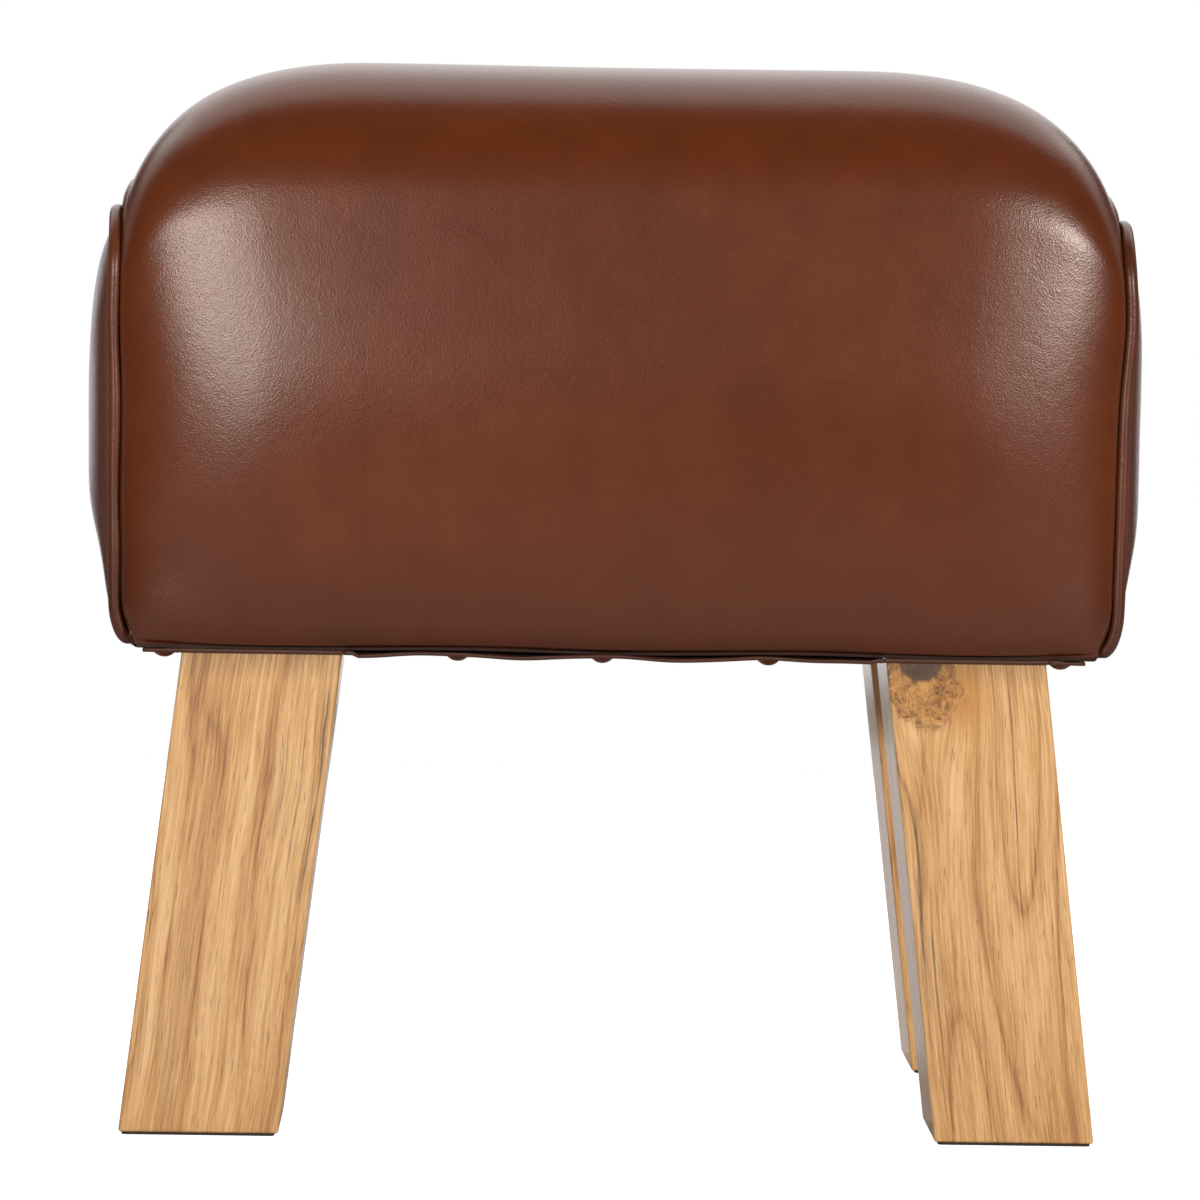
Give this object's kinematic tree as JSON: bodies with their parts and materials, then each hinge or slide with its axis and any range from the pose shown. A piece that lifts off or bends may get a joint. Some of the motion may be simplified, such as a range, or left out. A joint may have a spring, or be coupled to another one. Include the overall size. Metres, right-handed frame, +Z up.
{
  "type": "pommel horse stool",
  "caption": "Low stool in the style of a gymnastics pommel horse, a stuffed leather body with puffed end panels on splayed square wooden legs.",
  "frame": {"origin": "on the floor, under the middle of the seat", "axes": "+Z up, +X along the long side of the seat, the front long side faces -Y"},
  "size_m": [0.448, 0.28, 0.4472],
  "materials": {
    "leather": "satin",
    "strip_leather": "satin",
    "foam": "matte",
    "plywood": "matte",
    "softwood": "matte",
    "teak": "satin",
    "dowel_wood": "matte",
    "cambric": "matte",
    "nail_metal": "satin",
    "zinc_steel": "satin",
    "pad_rubber": "matte"
  },
  "bodies": {
    "root": {"leather_wrap": "leather", "end_panel_left": "leather", "end_panel_right": "leather", "end_welt_left": "leather", "end_welt_right": "leather", "base_strip_front": "strip_leather", "base_strip_back": "strip_leather", "base_strip_left": "strip_leather", "base_strip_right": "strip_leather", "foam_top": "foam", "foam_front": "foam", "foam_back": "foam", "foam_left": "foam", "foam_right": "foam", "base_board": "plywood", "box_lid": "plywood", "box_front": "softwood", "box_back": "softwood", "box_left": "softwood", "box_right": "softwood", "box_rib": "softwood", "leg_front_left": "teak", "leg_front_right": "teak", "leg_back_left": "teak", "leg_back_right": "teak", "leg_dowels": "dowel_wood", "dust_cover": "cambric", "upholstery_nails": "nail_metal", "hanger_bolts": "zinc_steel", "tee_nuts": "zinc_steel", "frame_screws": "zinc_steel", "foot_pad_front_left": "pad_rubber", "foot_pad_front_right": "pad_rubber", "foot_pad_back_left": "pad_rubber", "foot_pad_back_right": "pad_rubber"}
  },
  "joints": []
}
